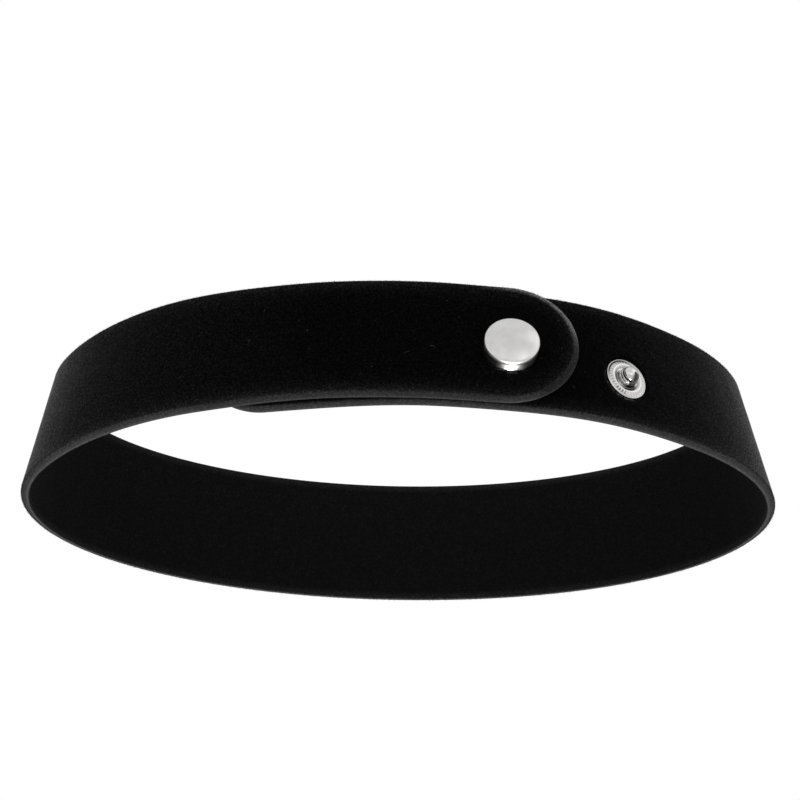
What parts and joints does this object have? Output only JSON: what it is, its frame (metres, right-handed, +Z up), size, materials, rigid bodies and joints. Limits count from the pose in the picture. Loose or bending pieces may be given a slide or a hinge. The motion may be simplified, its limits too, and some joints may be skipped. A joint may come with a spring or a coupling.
{
  "type": "choker necklace",
  "caption": "Velvet strap choker worn as a closed loop, fastened at the nape by a domed press snap, with a spare open stud.",
  "frame": {"origin": "middle of the neck opening, half way up the strap, which is where the neck holds it", "axes": "+Z up the neck, +X to the right of someone who looks at the nape, and the closure faces -Y"},
  "size_m": [0.1465, 0.102, 0.0256],
  "materials": {
    "velvet": "short, matt black pile that turns a little lighter where it is seen edge on, on a bonded backing whose cut edge is dark grey",
    "satin_metal": "satin silver",
    "bright_metal": "bright silver, pressed"
  },
  "bodies": {
    "root": {"strap": "velvet", "snap_cap": "satin_metal", "snap_socket": "satin_metal", "snap_stud_closed": "bright_metal", "snap_rivet_closed": "bright_metal", "snap_stud_open": "bright_metal", "snap_rivet_open": "bright_metal"}
  },
  "joints": []
}
